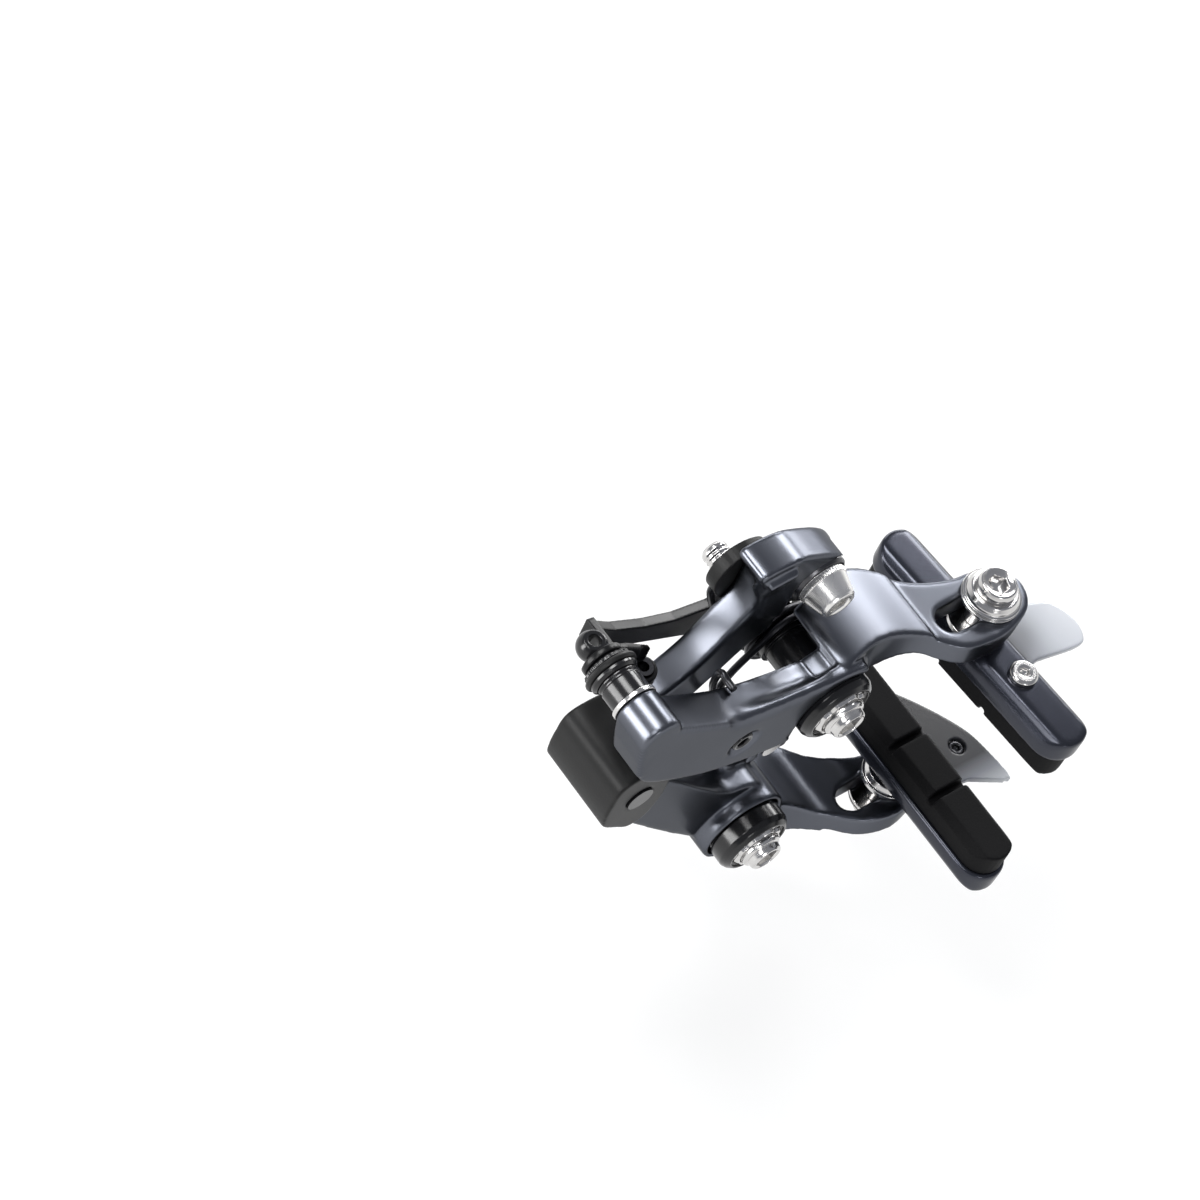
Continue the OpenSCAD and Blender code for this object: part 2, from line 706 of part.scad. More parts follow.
// Shoes, drawn for the upper side; the lower side mirrors them and moves them with lower()
module turned() {
    translate([shoe_x, shoe_y, 0])
        rotate([0, 0, shoe_turn])
            translate([-shoe_x, -shoe_y, 0])
                children();
}

module lower() {
    translate([-lower_in, -lower_ahead, 0])
        mirror([0, 0, 1])
            children();
}

module shoe_plan(w, inset) {
    front = shoe_front + inset;
    back = shoe_back - inset;
    translate([shoe_x, 0])
        polygon(concat(
            [for (a = [0 : 15 : 180]) [w / 2 * cos(a), back - w / 2 + w / 2 * sin(a)]],
            [for (a = [180 : 15 : 360]) [w / 2 * cos(a), front + w / 2 + w / 2 * sin(a)]]));
}

module holder() {
    color(c_arm)
        difference() {
            intersection() {
                translate([0, 0, holder_in_z])
                    linear_extrude(shoe_t)
                        shoe_plan(shoe_w, 0);
                along_y(shoe_front - 1, shoe_back + 1)
                    translate([shoe_x, holder_in_z])
                        polygon([[-shoe_w / 2, 0], [shoe_w / 2, 0], [shoe_w / 2, 3.4],
                            [shoe_w / 2 - 0.8, 5],
                            [shoe_w / 2 - 2.4, shoe_t], [-shoe_w / 2 + 2.4, shoe_t], [-shoe_w / 2 + 0.8, 5],
                            [-shoe_w / 2, 3.4]]);
            }
            translate([0, 0, holder_in_z - 1])
                linear_extrude(3.6)
                    shoe_plan(pad_w - 1.6, 1.8);
            rod_z(shoe_x, shoe_y, shoe_bolt_d / 2 + running_gap, holder_in_z, holder_out_z + 1);
            rod_z(shoe_x + 0.4, shoe_y - 15, 1.9, holder_in_z, holder_out_z + 1);
        }
}

module pad() {
    groove_w = 1.6;
    color(c_rubber)
        difference() {
            union() {
                intersection() {
                    translate([0, 0, pad_face_z])
                        linear_extrude(pad_proud - 0.02)
                            shoe_plan(pad_w, 0.9);
                    along_y(shoe_front - 1, shoe_back + 1)
                        translate([shoe_x, pad_face_z])
                            polygon([[-pad_w / 2 + 1.4, 0], [pad_w / 2 - 1.4, 0], [pad_w / 2, 1.6],
                                [pad_w / 2, pad_proud], [-pad_w / 2, pad_proud], [-pad_w / 2, 1.6]]);
                }
                translate([0, 0, holder_in_z - 0.1])
                    linear_extrude(2.6)
                        shoe_plan(pad_w - 1.8, 1.9);
            }
            for (y = [shoe_front + shoe_len / 3, shoe_front + shoe_len * 0.57])
                translate([shoe_x - pad_w, y - groove_w / 2, pad_face_z - 1])
                    cube([2 * pad_w, groove_w, 3.4]);
        }
}

module guide_fin() {
    z = holder_in_z + 1.2;
    out = shoe_x + shoe_w / 2;
    color(c_fin)
        translate([0, 0, z])
            linear_extrude(1.4)
                difference() {
                    polygon(smooth([[out - 1, shoe_y + 1], [out + 5, shoe_y + 1], [out + 11, shoe_y - 1.4],
                        [out + 16, shoe_y - 3.8], [out + 17.8, shoe_y - 9.6], [out + 16.6, shoe_y - 14],
                        [out + 13.6, shoe_y - 15], [out + 3.6, shoe_y - 13], [out - 1, shoe_y - 12.6]], 5));
                    translate([shoe_x - shoe_w / 2, shoe_front])
                        square([shoe_w + 0.04, shoe_len]);
                }
}

// The lower shoe's fin is longer and ends in a point, drawn in the upper shoe's place
module lower_fin() {
    out = shoe_x + shoe_w / 2;
    edge = smooth([[out - 2, shoe_y + 17], [out + 1, shoe_y + 15.6], [out + 4.6, shoe_y + 12],
        [out + 10.2, shoe_y + 3], [out + 13.2, shoe_y - 5], [out + 12.8, shoe_y - 15.4]], 5);
    color(c_fin)
        translate([0, 0, holder_in_z + 1.2])
            linear_extrude(1.6)
                difference() {
                    polygon(concat([for (k = [0 : 25]) edge[k]],
                        [[out + 12.4, shoe_y - 15.6], [out + 5, shoe_y - 11.6], [out - 2, shoe_y - 11]]));
                    translate([shoe_x - shoe_w / 2, shoe_front])
                        square([shoe_w + 0.04, shoe_len]);
                    translate([out + 7.8, shoe_y - 3.8])
                        circle(r = 2);
                }
}

module pad_screw() {
    x = shoe_x + 0.4;
    y = shoe_y - 15;
    color(c_steel)
        difference() {
            union() {
                rod_z(x, y, 1.86, holder_in_z + 2.7, holder_out_z);
                rod_z(x, y, 3.1, holder_out_z, holder_out_z + 1.1);
                translate([x, y, holder_out_z + 1.1])
                    cylinder(r1 = 3.1, r2 = 2.6, h = 0.5);
            }
            translate([x, y, holder_out_z + 0.4])
                cylinder(r = 2 / sqrt(3), h = 3, $fn = 6);
        }
}

module shoe_bolt() {
    base = arm_out_z + 2 * seat_gap + 3.4;
    color(c_steel)
        difference() {
            union() {
                rod_z(shoe_x, shoe_y, shoe_bolt_d / 2, holder_in_z + 2.8, base);
                rod_z(shoe_x, shoe_y, 4.3, base, base + 1.8);
                translate([shoe_x, shoe_y, base + 1.8])
                    cylinder(r1 = 4.3, r2 = 3.7, h = 0.6);
            }
            translate([shoe_x, shoe_y, base - 0.8])
                cylinder(r = 4 / sqrt(3), h = 5, $fn = 6);
        }
}

module shoe_washers() {
    r = washer_d / 2;
    hole = shoe_bolt_d / 2 + 0.02;
    out = arm_out_z + seat_gap;
    in = holder_out_z + seat_gap;
    color(c_steel)
        difference() {
            union() {
                rod_z(shoe_x, shoe_y, r, out, out + 1.6);
                translate([shoe_x, shoe_y, out + 1.6])
                    cylinder(r1 = r - 0.5, r2 = r - 1.4, h = 1.8);
                rod_z(shoe_x, shoe_y, r, in + ball_stack - 1.2, in + ball_stack);
                translate([shoe_x, shoe_y, in])
                    cylinder(r1 = r - 1.2, r2 = r - 0.6, h = ball_stack - 1.2);
            }
            rod_z(shoe_x, shoe_y, hole, in - 1, out + 5);
        }
}

mount_bolt(pivot_z);  // upper_mount_bolt
mount_bolt(-pivot_z);  // lower_mount_bolt
post(pivot_z);  // upper_post
post(-pivot_z);  // lower_post
collar(pivot_z);  // upper_collar
collar(-pivot_z);  // lower_collar
bolt_washer(pivot_z);  // upper_bolt_washer
bolt_washer(-pivot_z);  // lower_bolt_washer
upper_arm();
centring_screw();
adjuster_sleeve();
sleeve_ring();
adjuster_knob();
knob_o_ring();
adjuster_bracket();
bracket_pin();
cable_eye();
lower_arm();
end_block();
end_pin();
spring_seat();
sync_pin();
clamp_washer();
clamp_bolt();
return_spring();
turned() holder();  // upper_holder
turned() pad();  // upper_pad
turned() guide_fin();  // upper_guide_fin
turned() pad_screw();  // upper_pad_screw
shoe_bolt();  // upper_shoe_bolt
shoe_washers();  // upper_shoe_washers
lower() holder();  // lower_holder
lower() pad();  // lower_pad
lower() lower_fin();  // lower_guide_fin
lower() pad_screw();  // lower_pad_screw
lower() shoe_bolt();  // lower_shoe_bolt
lower() shoe_washers();  // lower_shoe_washers
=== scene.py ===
# %% [markdown]
# # A rim brake caliper, dressed for its picture
# The caliper arrives as a frame: every piece already has its real size and its place, in metres.
# This lesson puts the camera, the light and the finishes round it, and rebuilds the pieces whose edges and small
# steps the frame leaves plain. Each finish is a small node tree that is computed from the object's own
# coordinates, so it stays on the piece when the piece moves.

# %% Load the caliper
import json
import bpy
import bmesh
import numpy as np
from mathutils import Matrix, Vector


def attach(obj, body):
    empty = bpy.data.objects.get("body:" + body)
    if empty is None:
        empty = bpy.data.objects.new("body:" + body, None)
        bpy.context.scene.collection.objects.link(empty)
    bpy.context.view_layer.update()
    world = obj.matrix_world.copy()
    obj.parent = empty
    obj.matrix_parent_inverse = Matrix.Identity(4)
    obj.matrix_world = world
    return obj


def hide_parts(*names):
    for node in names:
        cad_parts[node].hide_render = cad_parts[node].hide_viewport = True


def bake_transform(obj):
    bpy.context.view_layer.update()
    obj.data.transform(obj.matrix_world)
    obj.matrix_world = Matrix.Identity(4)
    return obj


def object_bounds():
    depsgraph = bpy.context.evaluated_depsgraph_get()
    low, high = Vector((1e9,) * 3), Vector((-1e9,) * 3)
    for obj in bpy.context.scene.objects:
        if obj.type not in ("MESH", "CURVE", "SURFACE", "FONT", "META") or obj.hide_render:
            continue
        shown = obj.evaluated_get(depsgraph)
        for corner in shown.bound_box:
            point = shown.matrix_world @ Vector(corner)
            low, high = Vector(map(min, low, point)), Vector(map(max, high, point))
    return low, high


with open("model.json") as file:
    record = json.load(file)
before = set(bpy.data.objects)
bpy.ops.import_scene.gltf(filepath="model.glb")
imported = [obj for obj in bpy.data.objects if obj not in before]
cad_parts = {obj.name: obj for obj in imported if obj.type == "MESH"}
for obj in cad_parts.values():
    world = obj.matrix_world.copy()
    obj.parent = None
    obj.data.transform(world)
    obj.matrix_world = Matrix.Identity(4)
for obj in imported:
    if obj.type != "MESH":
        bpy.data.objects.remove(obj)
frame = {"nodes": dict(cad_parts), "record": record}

MM = 0.001  # the frame is in metres, the profiles and spots below are in millimetres
cad_box = [list(corner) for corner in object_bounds()]
print("the caliper measures", [round((b - a) / MM, 1) for a, b in zip(*cad_box)], "mm")

# %% [markdown]
# ## The camera
# The picture is taken from the cable side, from above and a little in front, with a long lens: parallel edges
# of the real part hardly converge. A camera's place can be written as an azimuth, an elevation, a roll and a
# distance to one point of the part. Those four numbers are clearer than a matrix, so the matrix is worked out
# here.

# %% Camera
AZIMUTH, ELEVATION, ROLL = np.radians([-58.12, 52.466, 26.481])
DISTANCE = 0.74984  # metres from the lens to the aim, along the view
FOCAL_PIXELS = 3600.0
PICTURE = 1200.0  # pixels along a side
SENSOR = 36.0
AIM = np.array([0.0, -0.008, 0.0])
AIM_PIXEL = np.array([720.81, 681.23])  # where the aim shows in the picture


def view_axes(azimuth, elevation, roll):
    """Right, up and backward of a camera: the roll turns the level right and up axes about the backward axis."""
    level = np.cos(elevation)
    back = np.array([np.sin(azimuth) * level, -np.cos(azimuth) * level, np.sin(elevation)])
    level_right = np.array([np.cos(azimuth), np.sin(azimuth), 0.0])
    level_up = np.cross(back, level_right)
    right = level_right * np.cos(roll) + level_up * np.sin(roll)
    up = -level_right * np.sin(roll) + level_up * np.cos(roll)
    return right, up, back


RIGHT, UP, BACK = view_axes(AZIMUTH, ELEVATION, ROLL)
offset = (AIM_PIXEL - PICTURE / 2) * DISTANCE / FOCAL_PIXELS
place = AIM + BACK * DISTANCE - RIGHT * offset[0] + UP * offset[1]

lens = bpy.data.cameras.new("camera")
lens.sensor_width = SENSOR
lens.lens = SENSOR * FOCAL_PIXELS / PICTURE
lens.clip_start, lens.clip_end = 0.05, 20.0
camera = bpy.data.objects.new("camera", lens)
bpy.context.scene.collection.objects.link(camera)
turn = np.eye(4)
turn[:3, 0], turn[:3, 1], turn[:3, 2], turn[:3, 3] = RIGHT, UP, BACK, place
camera.matrix_world = Matrix(turn.tolist())
bpy.context.scene.camera = camera
print("camera at", np.round(place, 3), "with a", round(lens.lens, 1), "mm lens")

# %% [markdown]
# ## Light and floor
# A dark metallic part shows what stands round it. So the light comes from a few soft panels, each hung where
# the sides that should be bright send the eye's ray: one on the left for the shank's broad side, one above for
# the hook's crest and the boss, two on the right for the saddle, and weak ones behind, in front and beside the
# eye. The background is white at the horizon and grey higher up, for the camera and for mirrors alike, and the
# rays that light the part meet an even pale room instead. The floor is matt paper that glows a little under the
# part, so that a soft shadow stays, and glows fully far out, so that it meets the horizon without a line.

# %% Light and floor
scene = bpy.context.scene
scene.view_settings.view_transform = "Standard"
CENTRE = np.array([-0.008, -0.022, 0.004])  # the lamps hang round this point


def panel(name, direction, distance, size, power):
    """An area lamp at a distance along a direction from the part, turned to face it, its long side level."""
    data = bpy.data.lights.new(name, "AREA")
    data.shape = "RECTANGLE"
    data.size, data.size_y = size
    data.energy = power
    lamp = bpy.data.objects.new(name, data)
    scene.collection.objects.link(lamp)
    unit = np.array(direction, float) / np.linalg.norm(direction)
    lamp.location = CENTRE + unit * distance
    lamp.rotation_euler = Vector(unit).to_track_quat("Z", "Y").to_euler()
    return lamp


def mirror_way(angle):
    """Where a lamp has to hang to shine in a side that was drawn in x and z: the arms' sides all send the eye's
    ray on with the same y, so one angle round the y axis says which of them show the lamp."""
    a = np.radians(angle)
    y = -BACK[1]
    reach = np.sqrt(1 - y * y)
    return np.array([np.cos(a) * reach, y, np.sin(a) * reach])


# name, direction, distance and size in metres, power in watts
panel("left_panel", mirror_way(168), 0.62, (0.20, 0.34), 2.6)
panel("upper_panel", mirror_way(106), 0.62, (0.26, 0.20), 2.2)
panel("right_panel", mirror_way(12), 0.62, (0.20, 0.12), 0.8)
panel("saddle_panel", mirror_way(38), 0.66, (0.10, 0.22), 1.1)
panel("back_panel", RIGHT * 0.1 + UP * 1.0 - BACK * 0.35, 0.62, (0.40, 0.12), 1.4)
panel("front_panel", RIGHT * 0.45 - UP * 0.55 + BACK * 0.7, 0.80, (0.18, 0.18), 0.9)
panel("eye_panel", BACK * 1.0 - RIGHT * 0.30 + UP * 0.16, 0.80, (0.22, 0.22), 1.1)


def seen_by_eye(nodes, links):
    """One for rays from the camera, off a mirror or through glass, nought for the rays that light the part."""
    path = nodes.new("ShaderNodeLightPath")
    most = nodes.new("ShaderNodeMath")
    both = nodes.new("ShaderNodeMath")
    most.operation = both.operation = "MAXIMUM"
    links.new(path.outputs["Is Camera Ray"], most.inputs[0])
    links.new(path.outputs["Is Glossy Ray"], most.inputs[1])
    links.new(most.outputs[0], both.inputs[0])
    links.new(path.outputs["Is Transmission Ray"], both.inputs[1])
    return both.outputs[0]


ROOM_COLOUR, ROOM_STRENGTH = (0.82, 0.85, 0.90, 1), 0.34
HORIZON = (0.02, (1.0, 1.0, 1.0, 1))  # the height of a ray's direction, and the colour that it meets
OVERHEAD = (0.18, (0.27, 0.28, 0.31, 1))

world = bpy.data.worlds.new("studio")
scene.world = world
world.use_nodes = True
nodes, links = world.node_tree.nodes, world.node_tree.links
nodes.clear()
out = nodes.new("ShaderNodeOutputWorld")
mix = nodes.new("ShaderNodeMixShader")
room = nodes.new("ShaderNodeBackground")
shown = nodes.new("ShaderNodeBackground")
room.inputs["Color"].default_value = ROOM_COLOUR
room.inputs["Strength"].default_value = ROOM_STRENGTH
way = nodes.new("ShaderNodeTexCoord")
split = nodes.new("ShaderNodeSeparateXYZ")
fade = nodes.new("ShaderNodeValToRGB")
for stop, (height, colour) in zip(fade.color_ramp.elements, (HORIZON, OVERHEAD)):
    stop.position, stop.color = height, colour
links.new(way.outputs["Generated"], split.inputs[0])
links.new(split.outputs["Z"], fade.inputs["Fac"])
links.new(fade.outputs["Color"], shown.inputs["Color"])
links.new(seen_by_eye(nodes, links), mix.inputs[0])
links.new(room.outputs[0], mix.inputs[1])
links.new(shown.outputs[0], mix.inputs[2])
links.new(mix.outputs[0], out.inputs["Surface"])


def floor_mesh(height, half, cells=8):
    """A flat grid at one height: x and y run over the same even steps."""
    steps = np.linspace(-half, half, cells + 1)
    x, y = np.meshgrid(steps, steps, indexing="ij")
    points = np.stack([x.ravel(), y.ravel(), np.full(x.size, height)], 1)
    k = np.arange((cells + 1) ** 2).reshape(cells + 1, cells + 1)
    faces = np.stack([k[:-1, :-1].ravel(), k[1:, :-1].ravel(), k[1:, 1:].ravel(), k[:-1, 1:].ravel()], 1)
    mesh = bpy.data.meshes.new("floor")
    mesh.from_pydata(points.tolist(), [], faces.tolist())
    return mesh


FLOOR_DROP, FLOOR_HALF = 0.03, 1.6  # metres under the part, and from the middle to an edge
GLOW, GLOW_FOR_EYE = 0.62, 0.45  # strength for every ray, and what is added for the eye
GLOW_SHARE = {"From Min": 0.25, "From Max": 1.1,  # metres from the middle
              "To Min": 0.62, "To Max": 1.0}  # share of the glow there, the rest is matt paper

floor = bpy.data.objects.new("floor", floor_mesh(cad_box[0][2] - FLOOR_DROP, FLOOR_HALF))
scene.collection.objects.link(floor)
paper = bpy.data.materials.new("floor_paper")
paper.use_nodes = True
nodes, links = paper.node_tree.nodes, paper.node_tree.links
nodes.clear()
out = nodes.new("ShaderNodeOutputMaterial")
blend = nodes.new("ShaderNodeMixShader")
glow = nodes.new("ShaderNodeEmission")
matt = nodes.new("ShaderNodeBsdfDiffuse")
matt.inputs["Color"].default_value = (0.9, 0.9, 0.9, 1)
strength = nodes.new("ShaderNodeMath")
strength.operation = "MULTIPLY_ADD"
strength.inputs[1].default_value, strength.inputs[2].default_value = GLOW_FOR_EYE, GLOW
links.new(seen_by_eye(nodes, links), strength.inputs[0])
links.new(strength.outputs[0], glow.inputs["Strength"])
here = nodes.new("ShaderNodeTexCoord")
away = nodes.new("ShaderNodeVectorMath")
share = nodes.new("ShaderNodeMapRange")
away.operation = "LENGTH"
for socket, value in GLOW_SHARE.items():
    share.inputs[socket].default_value = value
links.new(here.outputs["Object"], away.inputs[0])
links.new(away.outputs["Value"], share.inputs["Value"])
links.new(share.outputs["Result"], blend.inputs[0])
links.new(matt.outputs[0], blend.inputs[1])
links.new(glow.outputs[0], blend.inputs[2])
links.new(blend.outputs[0], out.inputs["Surface"])
floor.data.materials.append(paper)

# %% [markdown]
# ## The finishes
# A finish here is one Principled shader with two small patterns: a slow one that varies the gloss, as handling
# and casting do, and a fine one that lifts the surface a little, as grain, blasting or turning marks do. Both
# read the object's own coordinates. Colours are written in linear light.

# %% A helper that makes a finish
PATCH, TINT = 60.0, 0.12  # scale of the slow noise, and the share by which it changes the colour
BUMP_HEIGHT = 0.0002  # metres between the low and the high of the fine noise, at full strength
COAT_ROUGHNESS = 0.12
LEAST_ROUGHNESS = 0.02


def finish(name, colour, metallic, rough, vary, grain, bump, stretch=(1, 1, 1), coat=0.0, shine=0.5, edge=1.0):
    """A Principled material: slow noise changes colour and roughness, fine noise makes the bump. A dyed metal
    shines less at a flat angle than a bare one, and edge says how much of that shine is left."""
    material = bpy.data.materials.new(name)
    material.use_nodes = True
    tree = material.node_tree
    shader = tree.nodes["Principled BSDF"]
    place = tree.nodes.new("ShaderNodeTexCoord")
    scale = tree.nodes.new("ShaderNodeMapping")
    scale.inputs["Scale"].default_value = stretch
    tree.links.new(place.outputs["Object"], scale.inputs["Vector"])
    slow = tree.nodes.new("ShaderNodeTexNoise")
    slow.inputs["Scale"].default_value = PATCH
    slow.inputs["Detail"].default_value = 3.0
    tree.links.new(place.outputs["Object"], slow.inputs["Vector"])
    fine = tree.nodes.new("ShaderNodeTexNoise")
    fine.inputs["Scale"].default_value = grain
    fine.inputs["Detail"].default_value = 4.0
    tree.links.new(scale.outputs["Vector"], fine.inputs["Vector"])
    gloss = tree.nodes.new("ShaderNodeMapRange")
    gloss.inputs["To Min"].default_value = max(rough - vary, LEAST_ROUGHNESS)
    gloss.inputs["To Max"].default_value = rough + vary
    tree.links.new(slow.outputs["Fac"], gloss.inputs["Value"])
    tree.links.new(gloss.outputs["Result"], shader.inputs["Roughness"])
    ramp = tree.nodes.new("ShaderNodeValToRGB")
    ramp.color_ramp.elements[0].color = [c * (1 - TINT) for c in colour] + [1]
    ramp.color_ramp.elements[1].color = [min(c * (1 + TINT), 1) for c in colour] + [1]
    tree.links.new(slow.outputs["Fac"], ramp.inputs["Fac"])
    tree.links.new(ramp.outputs["Color"], shader.inputs["Base Color"])
    lift = tree.nodes.new("ShaderNodeBump")
    lift.inputs["Strength"].default_value = bump
    lift.inputs["Distance"].default_value = BUMP_HEIGHT
    tree.links.new(fine.outputs["Fac"], lift.inputs["Height"])
    tree.links.new(lift.outputs["Normal"], shader.inputs["Normal"])
    shader.inputs["Metallic"].default_value = metallic
    shader.inputs["Specular IOR Level"].default_value = shine
    shader.inputs["Specular Tint"].default_value = (edge, edge, edge, 1)
    shader.inputs["Coat Weight"].default_value = coat
    shader.inputs["Coat Roughness"].default_value = COAT_ROUGHNESS
    return material


# name, colour, metallic, roughness and how far it varies, scale and strength of the grain
ARM = finish("arm_anodised", (0.118, 0.125, 0.145), 1.0, 0.29, 0.03, 2600, 0.02, coat=0.10, edge=0.4)
HOLDER = finish("holder_gloss", (0.034, 0.037, 0.050), 0.7, 0.24, 0.03, 1800, 0.03, coat=0.3, edge=0.5)
RUBBER = finish("pad_rubber", (0.005, 0.005, 0.0055), 0.0, 0.60, 0.06, 2200, 0.22, shine=0.09)
SEAL = finish("seal_rubber", (0.006, 0.006, 0.006), 0.0, 0.40, 0.05, 2200, 0.08, shine=0.35)
FIN_PAINTED_SHADE = finish("fin_plastic", (0.36, 0.38, 0.42), 0.0, 0.22, 0.04, 900, 0.03, coat=0.4)
BLACK_METAL = finish("black_metal", (0.008, 0.008, 0.009), 0.0, 0.20, 0.04, 1600, 0.02, stretch=(1, 6, 1),
                     shine=0.45)
BLACK_PLASTIC = finish("black_plastic", (0.012, 0.012, 0.012), 0.0, 0.42, 0.06, 1500, 0.10, shine=0.16)
BRACKET = finish("bracket_black", (0.005, 0.005, 0.0055), 0.0, 0.30, 0.05, 1500, 0.06, shine=0.22)
DARK_STEEL = finish("dark_steel", (0.085, 0.085, 0.09), 1.0, 0.26, 0.05, 1500, 0.04)
WIRE = finish("spring_wire", (0.04, 0.04, 0.044), 0.9, 0.30, 0.05, 1500, 0.04)
STEEL = finish("polished_steel", (0.62, 0.61, 0.60), 1.0, 0.20, 0.04, 1400, 0.02)
BRIGHT = finish("bright_steel", (0.80, 0.79, 0.77), 1.0, 0.27, 0.03, 1800, 0.04, stretch=(1, 8, 1))
# The lower fin's finish: a darker copy of the fin finish, its colour painted shade from the arm above it.
LOWER_FIN_PAINTED_SHADE = finish("lower_fin_painted_shade", (0.050, 0.052, 0.060), 0.0, 0.24, 0.04, 900, 0.03, coat=0.1, shine=0.25)


def run_of_colour(material, axis, stops):
    """The base colour follows one object coordinate; here that paints shade along the fins. Each stop is a place
    in millimetres and its colour.
    """
    tree = material.node_tree
    place = tree.nodes.new("ShaderNodeTexCoord")
    parts = tree.nodes.new("ShaderNodeSeparateXYZ")
    span = tree.nodes.new("ShaderNodeMapRange")
    ramp = tree.nodes.new("ShaderNodeValToRGB")
    first, last = stops[0][0], stops[-1][0]
    span.inputs["From Min"].default_value = first * MM
    span.inputs["From Max"].default_value = last * MM
    tree.links.new(place.outputs["Object"], parts.inputs[0])
    tree.links.new(parts.outputs[axis], span.inputs["Value"])
    tree.links.new(span.outputs["Result"], ramp.inputs["Fac"])
    while len(ramp.color_ramp.elements) < len(stops):
        ramp.color_ramp.elements.new(0.5)
    for stop, (at, colour) in zip(ramp.color_ramp.elements, stops):
        stop.position = (at - first) / (last - first)
        stop.color = tuple(colour) + (1,)
    tree.links.new(ramp.outputs["Color"], tree.nodes["Principled BSDF"].inputs["Base Color"])


# The upper fin's colour: dark next to the holder, painted shade where the arm's shadow falls, growing to pale
# grey at its outer edge.
run_of_colour(FIN_PAINTED_SHADE, "X", [(46, (0.10, 0.105, 0.115)), (50, (0.26, 0.27, 0.30)), (58, (0.46, 0.48, 0.52)),
                         (65, (0.56, 0.58, 0.62))])
# The lower fin's colour: pale at its tip, and nearly black towards the arm as painted shade.
run_of_colour(LOWER_FIN_PAINTED_SHADE, "Y", [(-50, (0.60, 0.62, 0.65)), (-46, (0.24, 0.25, 0.28)), (-42, (0.03, 0.031, 0.036)),
                              (-18, (0.010, 0.010, 0.012))])

FINISH = {"arm_anodised": ARM, "holder_gloss": HOLDER, "pad_rubber": RUBBER, "seal_rubber": SEAL,
          "fin_plastic": FIN_PAINTED_SHADE, "black_metal": BLACK_METAL, "black_plastic": BLACK_PLASTIC,
          "dark_steel": DARK_STEEL, "spring_wire": WIRE, "polished_steel": STEEL}

# %% [markdown]
# ## Cast and forged pieces
# The arms are forged and polished, so no edge on them is sharp and every step runs into the next with a hollow.
# A bevel can't give that, because it only cuts edges off. Here the skin is rebuilt from small cubes of equal
# size, and the points are then moved toward the middle of their neighbours a few times: outer edges and inner
# corners become round alike, and flat faces stay flat. The shoes, the fins, the end block, the spring seat, the
# bracket and the cable eye are made the same way, with smaller cubes and as many rounds as their edges need.

# %% Rebuild a skin and round it
slot_of = {piece["node"]: piece["material_slot"] for piece in frame["record"]["subparts"]}
body_of = {node: body for body, nodes in frame["record"]["behaviour"]["bodies"].items() for node in nodes}
standing = {}  # the nodes that a dressed piece stands for, and the piece's name
LEAST_HOLD = 0.12  # what a crisp spot still moves
CRISP_FADE, MELT_FADE = 2, 3  # millimetres beyond a spot's reach over which it ends
MELT_ROUNDS = 90


def dress(piece, node, rides=True):
    """The piece stands for the node: it takes the finish of its slot and, unless it bends, rides on its body."""
    if rides:
        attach(piece, body_of[node])
    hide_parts(node)
    piece.data.materials.clear()
    piece.data.materials.append(FINISH[slot_of[node]])
    standing[node] = piece.name
    return piece


def place_piece(name, points, faces):
    """A mesh in metres, with smooth faces that all point out: a negative volume means that they point in."""
    points, faces = np.asarray(points, float), [list(face) for face in faces]
    first_half = np.array([points[face[:3]] for face in faces])
    other_half = np.array([points[[face[0], face[2], face[-1]]] for face in faces])
    volume = sum(np.einsum("ij,ij->", half[:, 0], np.cross(half[:, 1], half[:, 2]))
                 for half in (first_half, other_half))
    if volume < 0:
        faces = [face[::-1] for face in faces]
    mesh = bpy.data.meshes.new(name)
    mesh.from_pydata(points.tolist(), [], faces)
    mesh.shade_smooth()
    piece = bpy.data.objects.new(name, mesh)
    scene.collection.objects.link(piece)
    return piece


def evened(points, edges, rounds, hold):
    """Each round moves a point half the way to the mean of its neighbours, times its own hold from 0 to 1."""
    a, b = edges.T
    count = np.bincount(edges.ravel(), minlength=len(points)).astype(float)
    for _ in range(rounds):
        for axis in range(3):
            total = np.bincount(a, points[b, axis], len(points)) + np.bincount(b, points[a, axis], len(points))
            points[:, axis] += 0.5 * hold * (total / count - points[:, axis])
    return points


